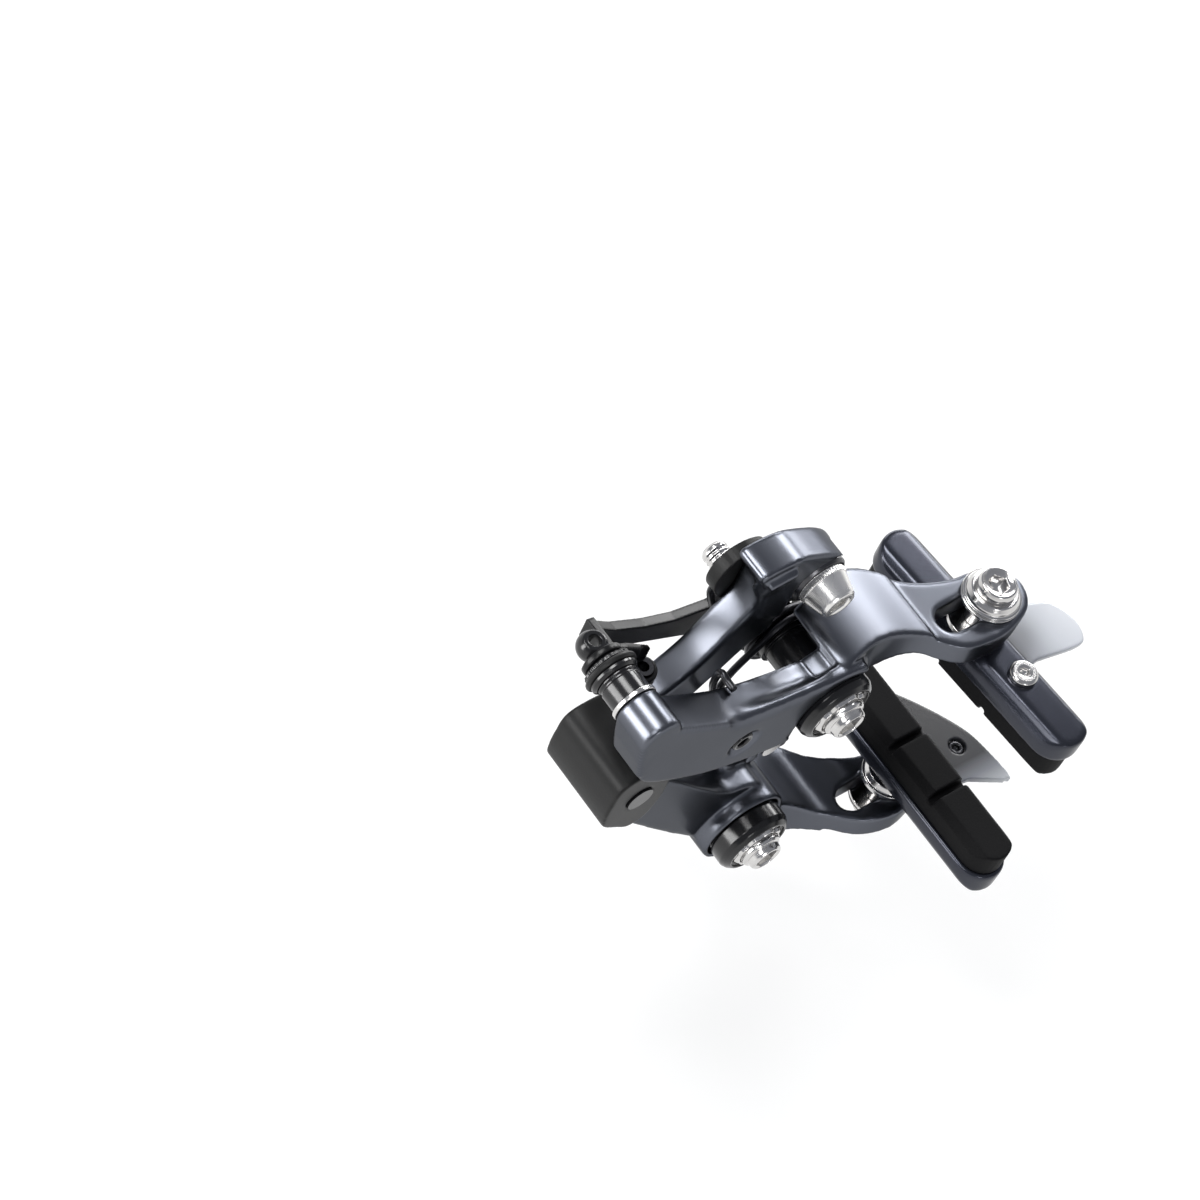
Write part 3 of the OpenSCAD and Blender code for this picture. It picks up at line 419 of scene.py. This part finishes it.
def softened(name, node, cube, rounds, added=(), crisp=(), melt=()):
    """The node's skin, joined, rebuilt from cubes and evened out. Spots are (x, y, z, reach) in mm: a crisp one
    is evened less, and at one that melts a step runs out into the faces beside it."""
    skin = bmesh.new()
    for mesh in [frame["nodes"][node].data] + [piece.data for piece in added]:
        skin.from_mesh(mesh)
    bmesh.ops.remove_doubles(skin, verts=skin.verts, dist=1e-6)
    mesh = bpy.data.meshes.new(name + "_skin")
    skin.to_mesh(mesh)
    skin.free()
    rough = bpy.data.objects.new(name + "_skin", mesh)
    scene.collection.objects.link(rough)
    cells = rough.modifiers.new("cells", "REMESH")
    cells.mode, cells.voxel_size = "VOXEL", cube * MM
    graph = bpy.context.evaluated_depsgraph_get()
    final = bpy.data.meshes.new_from_object(rough.evaluated_get(graph))
    for piece in [rough] + list(added):
        bpy.data.objects.remove(piece)
    points = np.empty(3 * len(final.vertices))
    final.vertices.foreach_get("co", points)
    points = points.reshape(-1, 3)
    edges = np.empty(2 * len(final.edges), int)
    final.edges.foreach_get("vertices", edges)
    edges = edges.reshape(-1, 2)
    hold = np.ones(len(points))
    for x, y, z, reach in crisp:
        away = np.linalg.norm(points / MM - (x, y, z), axis=1)
        hold = np.minimum(hold, np.clip((away - reach) / CRISP_FADE, LEAST_HOLD, 1))
    free = np.zeros(len(points))
    for x, y, z, reach in melt:
        away = np.linalg.norm(points / MM - (x, y, z), axis=1)
        free = np.maximum(free, np.clip(1 - (away - reach) / MELT_FADE, 0, 1))
    points = evened(points, edges, rounds, hold)
    if melt:
        points = evened(points, edges, MELT_ROUNDS, free)
    final.vertices.foreach_set("co", points.ravel())
    final.name = name
    final.update()
    final.shade_smooth()
    piece = bpy.data.objects.new(name, final)
    scene.collection.objects.link(piece)
    print(name, "has", len(final.polygons), "faces")
    return dress(piece, node)


def lump(corners):
    """A closed form with flat sides, to be merged into a piece: the convex hull of its corners in millimetres."""
    form = bmesh.new()
    for corner in corners:
        form.verts.new([c * MM for c in corner])
    bmesh.ops.convex_hull(form, input=form.verts)
    mesh = bpy.data.meshes.new("lump")
    form.to_mesh(mesh)
    form.free()
    piece = bpy.data.objects.new("lump", mesh)
    scene.collection.objects.link(piece)
    return piece


# %% The two arms
BOSS_BACK, BOSS_FRONT = -24.14, -32.86  # the filled notch of the boss, between the arm's two broad sides
side_of_boss = [(-59.5, 53.2), (-57.9, 47.0), (-55.9, 40.6), (-53.0, 40.0), (-52.0, 50.0), (-55.0, 54.5)]
boss_fill = lump([(x, y, z) for x, z in side_of_boss for y in (BOSS_FRONT, BOSS_BACK)])
ledge = [(-30.5, -30, 42, 2), (-26, -30, 41, 3), (-21, -30, 40, 3), (-15, -30, 39, 3), (-9, -30, 38.5, 2)]
softened("upper_arm_forged", "upper_arm", 0.34, 12, [boss_fill], melt=ledge)
crest_facet = lump([(-21.4, -15.2, 64.6), (-12.4, -15.2, 64.6), (-12.6, -18.4, 62.6), (-19.4, -18.4, 61.8),
                    (-19.6, -14, 57), (-12.6, -14, 57), (-12.6, -16.4, 53.5), (-17.6, -16.4, 53.5)])
foot_of_lug = [(-6, -21, -14, 2.5), (-6, -21, -18, 2.5), (-4, -21, -10, 2)]
softened("lower_arm_forged", "lower_arm", 0.37, 12, [crest_facet], crisp=[(-16, -17.4, 63, 4.6)],
         melt=foot_of_lug)

# %% The shoes, the block and the fins
for side in ("upper", "lower"):
    softened(side + "_holder_cast", side + "_holder", 0.26, 36)
    softened(side + "_pad_moulded", side + "_pad", 0.26, 5)
    fin = softened(side + "_fin_moulded", side + "_guide_fin", 0.16, 5)
    fin.data.materials[0] = FIN_PAINTED_SHADE if side == "upper" else LOWER_FIN_PAINTED_SHADE
softened("end_block_moulded", "end_block", 0.22, 16)
softened("spring_seat_moulded", "spring_seat", 0.14, 4)
softened("bracket_moulded", "adjuster_bracket", 0.2, 5).data.materials[0] = BRACKET
softened("cable_eye_turned", "cable_eye", 0.12, 4)

# %% [markdown]
# ## Turned pieces
# Bolts, washers, collars and the adjuster come from a lathe. Their shape is a profile of radius and level,
# carried round an axis. A third number at a point of the profile is a count of sides: a hexagon socket is the
# same surface, with rings whose radius follows a hexagon. A fourth is the depth of as many teeth, on a knurled
# ring whose radius rises and falls with a cosine. Every corner of a profile is first rounded by a short curve,
# because it is that small curve that catches the light.

# %% Carry a profile round an axis
CORNER_POINTS = 4
MOST_CUT = 0.3  # a corner's curve takes no more than this share of the shorter side beside it
BEYOND = 0.5  # the extra point on each side of a curve, as a share of what the curve cut off


def rounded(profile, radius, steps, closed):
    """Each corner c becomes (1-t)^2 a + 2t(1-t) c + t^2 b, with a and b on its two sides and a point beyond
    each. The two ends of an open profile stay sharp."""
    p = np.array([tuple(q) + (0,) * (4 - len(q)) for q in profile], float)
    before, after = np.roll(p, 1, 0), np.roll(p, -1, 0)
    back, on = before[:, :2] - p[:, :2], after[:, :2] - p[:, :2]
    near = np.minimum(np.linalg.norm(back, axis=1), np.linalg.norm(on, axis=1))
    cut = np.minimum(radius, MOST_CUT * near)[:, None]
    a = p[:, :2] + back / np.linalg.norm(back, axis=1, keepdims=True) * cut
    b = p[:, :2] + on / np.linalg.norm(on, axis=1, keepdims=True) * cut
    t = np.linspace(0, 1, steps)[None, :, None]
    curve = (1 - t) ** 2 * a[:, None] + 2 * t * (1 - t) * p[:, None, :2] + t ** 2 * b[:, None]
    ahead = a[:, None] + (a - p[:, :2])[:, None] * BEYOND
    behind = b[:, None] + (b - p[:, :2])[:, None] * BEYOND
    full = np.concatenate([ahead, curve, behind], 1)
    kinds = np.repeat(p[:, None, 2:], full.shape[1], 1)
    full = np.concatenate([full, kinds], 2)
    if closed:
        return full.reshape(-1, 4)
    return np.concatenate([p[:1], full[1:-1].reshape(-1, 4), p[-1:]])


def ring_grid(profile, spot, along, radius, steps, closed, turn, start):
    """Points and faces of a profile of (radius, level, sides, depth) carried round the axis through the spot."""
    path = rounded(profile, radius, CORNER_POINTS, closed)
    angle = np.linspace(0, 2 * np.pi, steps, endpoint=False)
    sides, depth = path[:, 2:3], path[:, 3:4]
    flat = np.maximum(np.abs(sides), 3)
    corner = np.cos(np.pi / flat) / np.cos(np.mod(angle, 2 * np.pi / flat) - np.pi / flat)
    tooth = 1 - depth * (0.5 - 0.5 * np.cos(flat * angle))
    r = path[:, :1] * np.where(sides == 0, 1.0, np.where(depth > 0, tooth, corner))
    level = np.repeat(path[:, 1:2], steps, 1)
    one, two = r * np.cos(angle + turn), r * np.sin(angle + turn)
    if along == "y":
        grid = np.stack([spot[0] + one, level, spot[1] + two], -1)
    else:
        grid = np.stack([spot[0] + one, spot[1] + two, level], -1)
    rows = len(path)
    points = grid.reshape(-1, 3)
    k = np.arange(rows * steps).reshape(rows, steps) + start
    near = k if closed else k[:-1]
    far = np.roll(k, -1, 0) if closed else k[1:]
    faces = np.stack([near, np.roll(near, -1, 1), np.roll(far, -1, 1), far], -1).reshape(-1, 4).tolist()
    if not closed:
        middle = [grid[0].mean(0), grid[-1].mean(0)]
        points = np.concatenate([points, middle])
        top, end = start + rows * steps, start + rows * steps + 1
        faces += np.stack([np.roll(k[0], -1), k[0], np.full(steps, top)], -1).tolist()
        faces += np.stack([k[-1], np.roll(k[-1], -1), np.full(steps, end)], -1).tolist()
    return points, faces


def turned(name, node, spot, profiles, along="y", radius=0.16, steps=96, closed=True, turn=0.0):
    """One piece from one or more profiles in millimetres, each a closed loop or a line with both ends filled.
    Radius is that of the small curve at each corner, and turn sets the flats of a hexagon."""
    points, faces, start = [], [], 0
    for profile in profiles:
        p, f = ring_grid(profile, spot, along, radius, steps, closed, turn, start)
        points.append(p)
        faces += f
        start += len(p)
    piece = place_piece(name, np.concatenate(points) * MM, faces)
    return dress(piece, node) if node else piece


# %% Mounting bolts, washers, collars and posts
PIVOT = 27.0
thread = [(3.0 - 0.32 * (k % 2), 0.6 + 0.5 * k) for k in range(15)]
bolt = [(2.3, 9.0), (2.9, 8.4)] + thread[::-1] + [(2.9, 0.0), (2.9, -34.3), (4.8, -34.3), (4.8, -36.5),
        (4.35, -37.0), (3.95, -37.1), (3.8, -38.2), (3.4, -38.7), (3.05, -38.7), (2.887, -38.3, 6),
        (2.887, -35.5, 6)]
bolt_ring = [(3.05, -33.1), (6.2, -33.1), (6.2, -34.6), (6.15, -35.0, 9, 0.10), (5.75, -35.65, 9, 0.12),
             (5.0, -35.7), (4.85, -35.2), (4.85, -34.4), (3.05, -34.4)]
collar = [(3.1, -27.7), (8.2, -27.7), (8.2, -29.3), (7.8, -29.5), (7.8, -30.0), (8.7, -30.1), (8.7, -33.5),
          (8.2, -34.5), (7.3, -35.3), (6.9, -35.3), (6.75, -34.7), (6.3, -34.6), (6.3, -33.0), (3.1, -33.0)]
post = [(3.1, 0.0), (7.8, 0.0), (7.8, -2.2), (7.6, -2.4), (5.8, -2.4), (5.8, -16.45), (5.0, -16.45),
        (5.0, -27.7), (3.1, -27.7)]
for side, height in (("upper", PIVOT), ("lower", -PIVOT)):
    turned(side + "_bolt_turned", side + "_mount_bolt", (0, height), [bolt], closed=False, turn=0.3)
    turned(side + "_washer_toothed", side + "_bolt_washer", (0, height), [bolt_ring], radius=0.1, steps=144)
    turned(side + "_collar_turned", side + "_collar", (0, height), [collar], steps=128)
    turned(side + "_post_turned", side + "_post", (0, height), [post], steps=64)

# %% The cable clamp's bolt and washer
CLAMP = (-0.9, 50.6)
turned("clamp_washer_stepped", "clamp_washer", CLAMP,
       [[(2.55, -11.6), (5.1, -11.6), (5.1, -15.2), (6.0, -15.4), (6.3, -15.6), (6.3, -16.3), (5.7, -17.0),
         (2.55, -17.0)]], steps=128)
clamp_bolt = turned("clamp_bolt_turned", "clamp_bolt", CLAMP,
       [[(2.4, -9.3), (2.5, -9.4), (2.5, -17.05), (5.4, -17.05), (5.4, -17.3, 48, 0.03), (5.35, -18.3, 48, 0.03),
         (5.1, -18.45), (3.95, -22.7), (3.45, -23.25), (2.7, -23.25), (2.31, -22.9, 6), (2.31, -19.85, 6)]],
       closed=False, steps=288, turn=0.4)
clamp_bolt.data.materials[0] = BRIGHT

# %% The shoes' bolts, washers and screws
ball_washers = [[(3.02, 36.35), (6.5, 36.35), (6.5, 37.05), (6.15, 37.2), (6.15, 37.45), (6.45, 37.6),
                 (6.4, 37.95), (5.9, 38.05), (5.75, 38.7), (5.1, 39.75), (3.02, 39.75)],
                [(3.02, 26.85), (5.3, 26.85), (5.9, 28.0), (6.5, 28.05), (6.5, 29.25), (3.02, 29.25)]]
shoe_bolt = [(2.9, 23.2), (3.0, 23.3), (3.0, 39.8), (4.3, 39.8), (4.3, 41.3), (3.9, 42.1), (3.5, 42.2),
             (3.2, 41.9), (2.8, 41.7), (2.31, 41.5, 6), (2.31, 39.0, 6)]
pad_screw = [(1.8, 23.1), (1.86, 23.2), (1.86, 26.8), (3.1, 26.8), (3.1, 27.9), (2.6, 28.4), (1.6, 28.4),
             (1.155, 28.2, 6), (1.155, 27.2, 6)]


def mirrored(profiles):
    """The same profiles below the middle plane: every level changes its sign."""
    return [[(q[0], -q[1]) + tuple(q[2:]) for q in profile] for profile in profiles]


for side, spot, screw, flip in (("upper", (40.5, -31.0), (41.945, -45.935), lambda p: p),
                                ("lower", (39.5, -34.4), (39.9, -49.4), mirrored)):
    turned(side + "_ball_washers", side + "_shoe_washers", spot, flip(ball_washers), "z", steps=128)
    turned(side + "_shoe_bolt_turned", side + "_shoe_bolt", spot, flip([shoe_bolt]), "z", closed=False, turn=0.2)
    turned(side + "_pad_screw_turned", side + "_pad_screw", screw, flip([pad_screw]), "z", closed=False)

fin_screw = turned("lower_fin_screw", None, (53.4, -38.2),
                   [[(1.7, -24.4), (1.96, -24.2), (1.96, -22.6), (1.7, -22.2), (1.2, -22.1), (0.9, -22.4, 6),
                     (0.9, -23.2, 6)]], "z", closed=False, radius=0.1, steps=48)
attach(fin_screw, "lower_shoe")
fin_screw.data.materials.append(DARK_STEEL)

# %% The centring screw, almost level with the face of the arm
centring_screw = [(2.1, -23.4), (2.5, -23.8), (2.5, -32.3), (2.2, -32.7), (1.8, -32.7), (1.443, -32.4, 6),
                  (1.443, -29.6, 6)]
turned("centring_screw_turned", "centring_screw", (-25.4, 31.0), [centring_screw], closed=False)

# %% The cable adjuster
BOSS = (-55.0, 54.5)
turned("sleeve_ring_turned", "sleeve_ring", BOSS, [[(3.02, -24.1), (4.8, -24.1), (4.8, -23.2), (3.02, -23.2)]])
turned("adjuster_barrel", "adjuster_sleeve", BOSS,
       [[(2.9, -30.8), (3.0, -30.7), (3.0, -23.2), (4.3, -23.2), (4.3, -19.2), (4.05, -19.0), (4.05, -18.6),
         (4.3, -18.4), (4.3, -18.0), (3.0, -18.0), (3.0, -12.4), (1.5, -12.4), (1.5, -26.9)]], closed=False)
turned("adjuster_knob_knurled", "adjuster_knob", BOSS,
       [[(3.05, -17.9), (4.5, -17.9), (5.1, -17.4), (5.1, -16.75), (4.45, -16.3), (4.45, -15.7), (5.1, -15.25),
         (5.1, -15.0, 26, 0.06), (5.05, -14.5, 26, 0.06), (3.95, -13.95), (3.05, -13.9)]], steps=208, radius=0.1)
SEAL_R, SEAL_LEVEL, SEAL_CORD_R = 5.1, -16.0, 0.62
cord = [(SEAL_R + SEAL_CORD_R * np.cos(a), SEAL_LEVEL + SEAL_CORD_R * np.sin(a))
        for a in np.linspace(0, 2 * np.pi, 12, endpoint=False)]
turned("knob_seal_ring", "knob_o_ring", BOSS, [cord], radius=0.01)

# %% [markdown]
# ## The return spring
# One unbroken wire: a leg that rests in the hook's seat, turns round the upper post, and a leg that reaches
# over the upper arm. It is a circle carried along a smooth curve through the wire's own points. The real wire
# flexes: its coil stays on the post while its two ends go with the two arms. So it is made in two lengths that
# meet where the coil begins, and neither rides on an arm.

# %% A round wire along a curve
WIRE_D, WIRE_SIDES = 1.6, 14
PATH_STEPS = 5  # rings between two points of the path
COIL_BACK, COIL_FRONT, COIL_R = -7.2, -15.4, 7.2
COIL_POINTS, COIL_START, COIL_SWEEP = 44, 210, 360 * 3 + 300  # degrees round the post


def smooth_path(points, steps):
    """A Catmull-Rom curve: between b and c it is 0.5(2b + (c-a)t + (2a-5b+4c-d)t^2 + (3b-3c+d-a)t^3)."""
    p = np.concatenate([[2 * points[0] - points[1]], points, [2 * points[-1] - points[-2]]])
    a, b, c, d = (p[k:len(p) - 3 + k, None] for k in range(4))
    t = np.linspace(0, 1, steps, endpoint=False)[None, :, None]
    curve = 0.5 * (2 * b + (c - a) * t + (2 * a - 5 * b + 4 * c - d) * t ** 2 + (3 * b - 3 * c + d - a) * t ** 3)
    return np.concatenate([curve.reshape(-1, 3), points[-1:]])


def wire_surface(path, radius, sides):
    """Rings round a path. Each is radius(cos u n + sin u b), and n turns as little as can be between two."""
    ahead = np.gradient(path, axis=0)
    ahead /= np.linalg.norm(ahead, axis=1, keepdims=True)
    side = np.zeros_like(path)
    side[0] = np.cross(ahead[0], [1.0, 0.0, 0.0])
    for k in range(len(path)):
        n = side[max(k - 1, 0)]
        n = n - ahead[k] * (n @ ahead[k])
        side[k] = n / np.linalg.norm(n)
    other = np.cross(ahead, side)
    u = np.linspace(0, 2 * np.pi, sides, endpoint=False)
    across, along = np.cos(u)[None, :, None] * side[:, None], np.sin(u)[None, :, None] * other[:, None]
    rings = path[:, None] + radius * (across + along)
    k = np.arange(len(path) * sides).reshape(-1, sides)
    faces = np.stack([k[:-1], np.roll(k[:-1], -1, 1), np.roll(k[1:], -1, 1), k[1:]], -1).reshape(-1, 4).tolist()
    points = np.concatenate([rings.reshape(-1, 3), path[:1], path[-1:]])
    faces += [[k[0][(j + 1) % sides], k[0][j], k.size] for j in range(sides)]
    faces += [[k[-1][j], k[-1][(j + 1) % sides], k.size + 1] for j in range(sides)]
    return points, faces


sweep = np.linspace(0, 1, COIL_POINTS)
coil_angle = np.radians(COIL_START + COIL_SWEEP * sweep)
coil = np.stack([COIL_R * np.cos(coil_angle), COIL_BACK + (COIL_FRONT - COIL_BACK) * sweep,
                 PIVOT + COIL_R * np.sin(coil_angle)], 1)
ARM_BACK, HOOK_Z = -24.1, PIVOT + 15.6  # the leg's end hooks over the arm's back face at this height
seat_leg = np.array([[-20.5, COIL_BACK, PIVOT + 27], [-20.5, COIL_BACK, PIVOT + 22],
                     [-20.0, COIL_BACK, PIVOT + 18.4], [-14.2, COIL_BACK, PIVOT + 7.6]])
arm_leg = np.array([[-11.5, COIL_FRONT, PIVOT - 3.8], [-14.6, COIL_FRONT - 0.8, PIVOT - 8],
                    [-17.6, -18.4, PIVOT - 8], [-20.4, -20.0, PIVOT - 4], [-24.0, -20.6, PIVOT + 4],
                    [-26.4, -20.8, PIVOT + 10], [-27.4, ARM_BACK + 2.4, HOOK_Z], [-27.4, ARM_BACK, HOOK_Z],
                    [-27.4, ARM_BACK - 2, HOOK_Z]])
wire = smooth_path(np.concatenate([seat_leg, coil, arm_leg]), PATH_STEPS)
parting = PATH_STEPS * len(seat_leg)  # the ring where the coil begins
points, faces = wire_surface(wire[parting:], WIRE_D / 2, WIRE_SIDES)
coil_piece = dress(place_piece("spring_coil", points * MM, faces), "return_spring", rides=False)
points, faces = wire_surface(wire[:parting + 1], WIRE_D / 2, WIRE_SIDES)
leg_piece = dress(place_piece("spring_leg", points * MM, faces), "return_spring", rides=False)
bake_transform(coil_piece)
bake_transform(leg_piece)

# %% [markdown]
# ## The pieces that need nothing more
# Pins that hardly show keep the frame's own form and get their finish.

# %% Finish the frame's own pieces
for name, piece in frame["nodes"].items():
    for slot in piece.material_slots:
        slot.material = DARK_STEEL if name == "bracket_pin" else FINISH[slot_of[name]]
print("finished", len(frame["nodes"]) - len(standing), "plain pieces and", len(standing), "dressed ones")
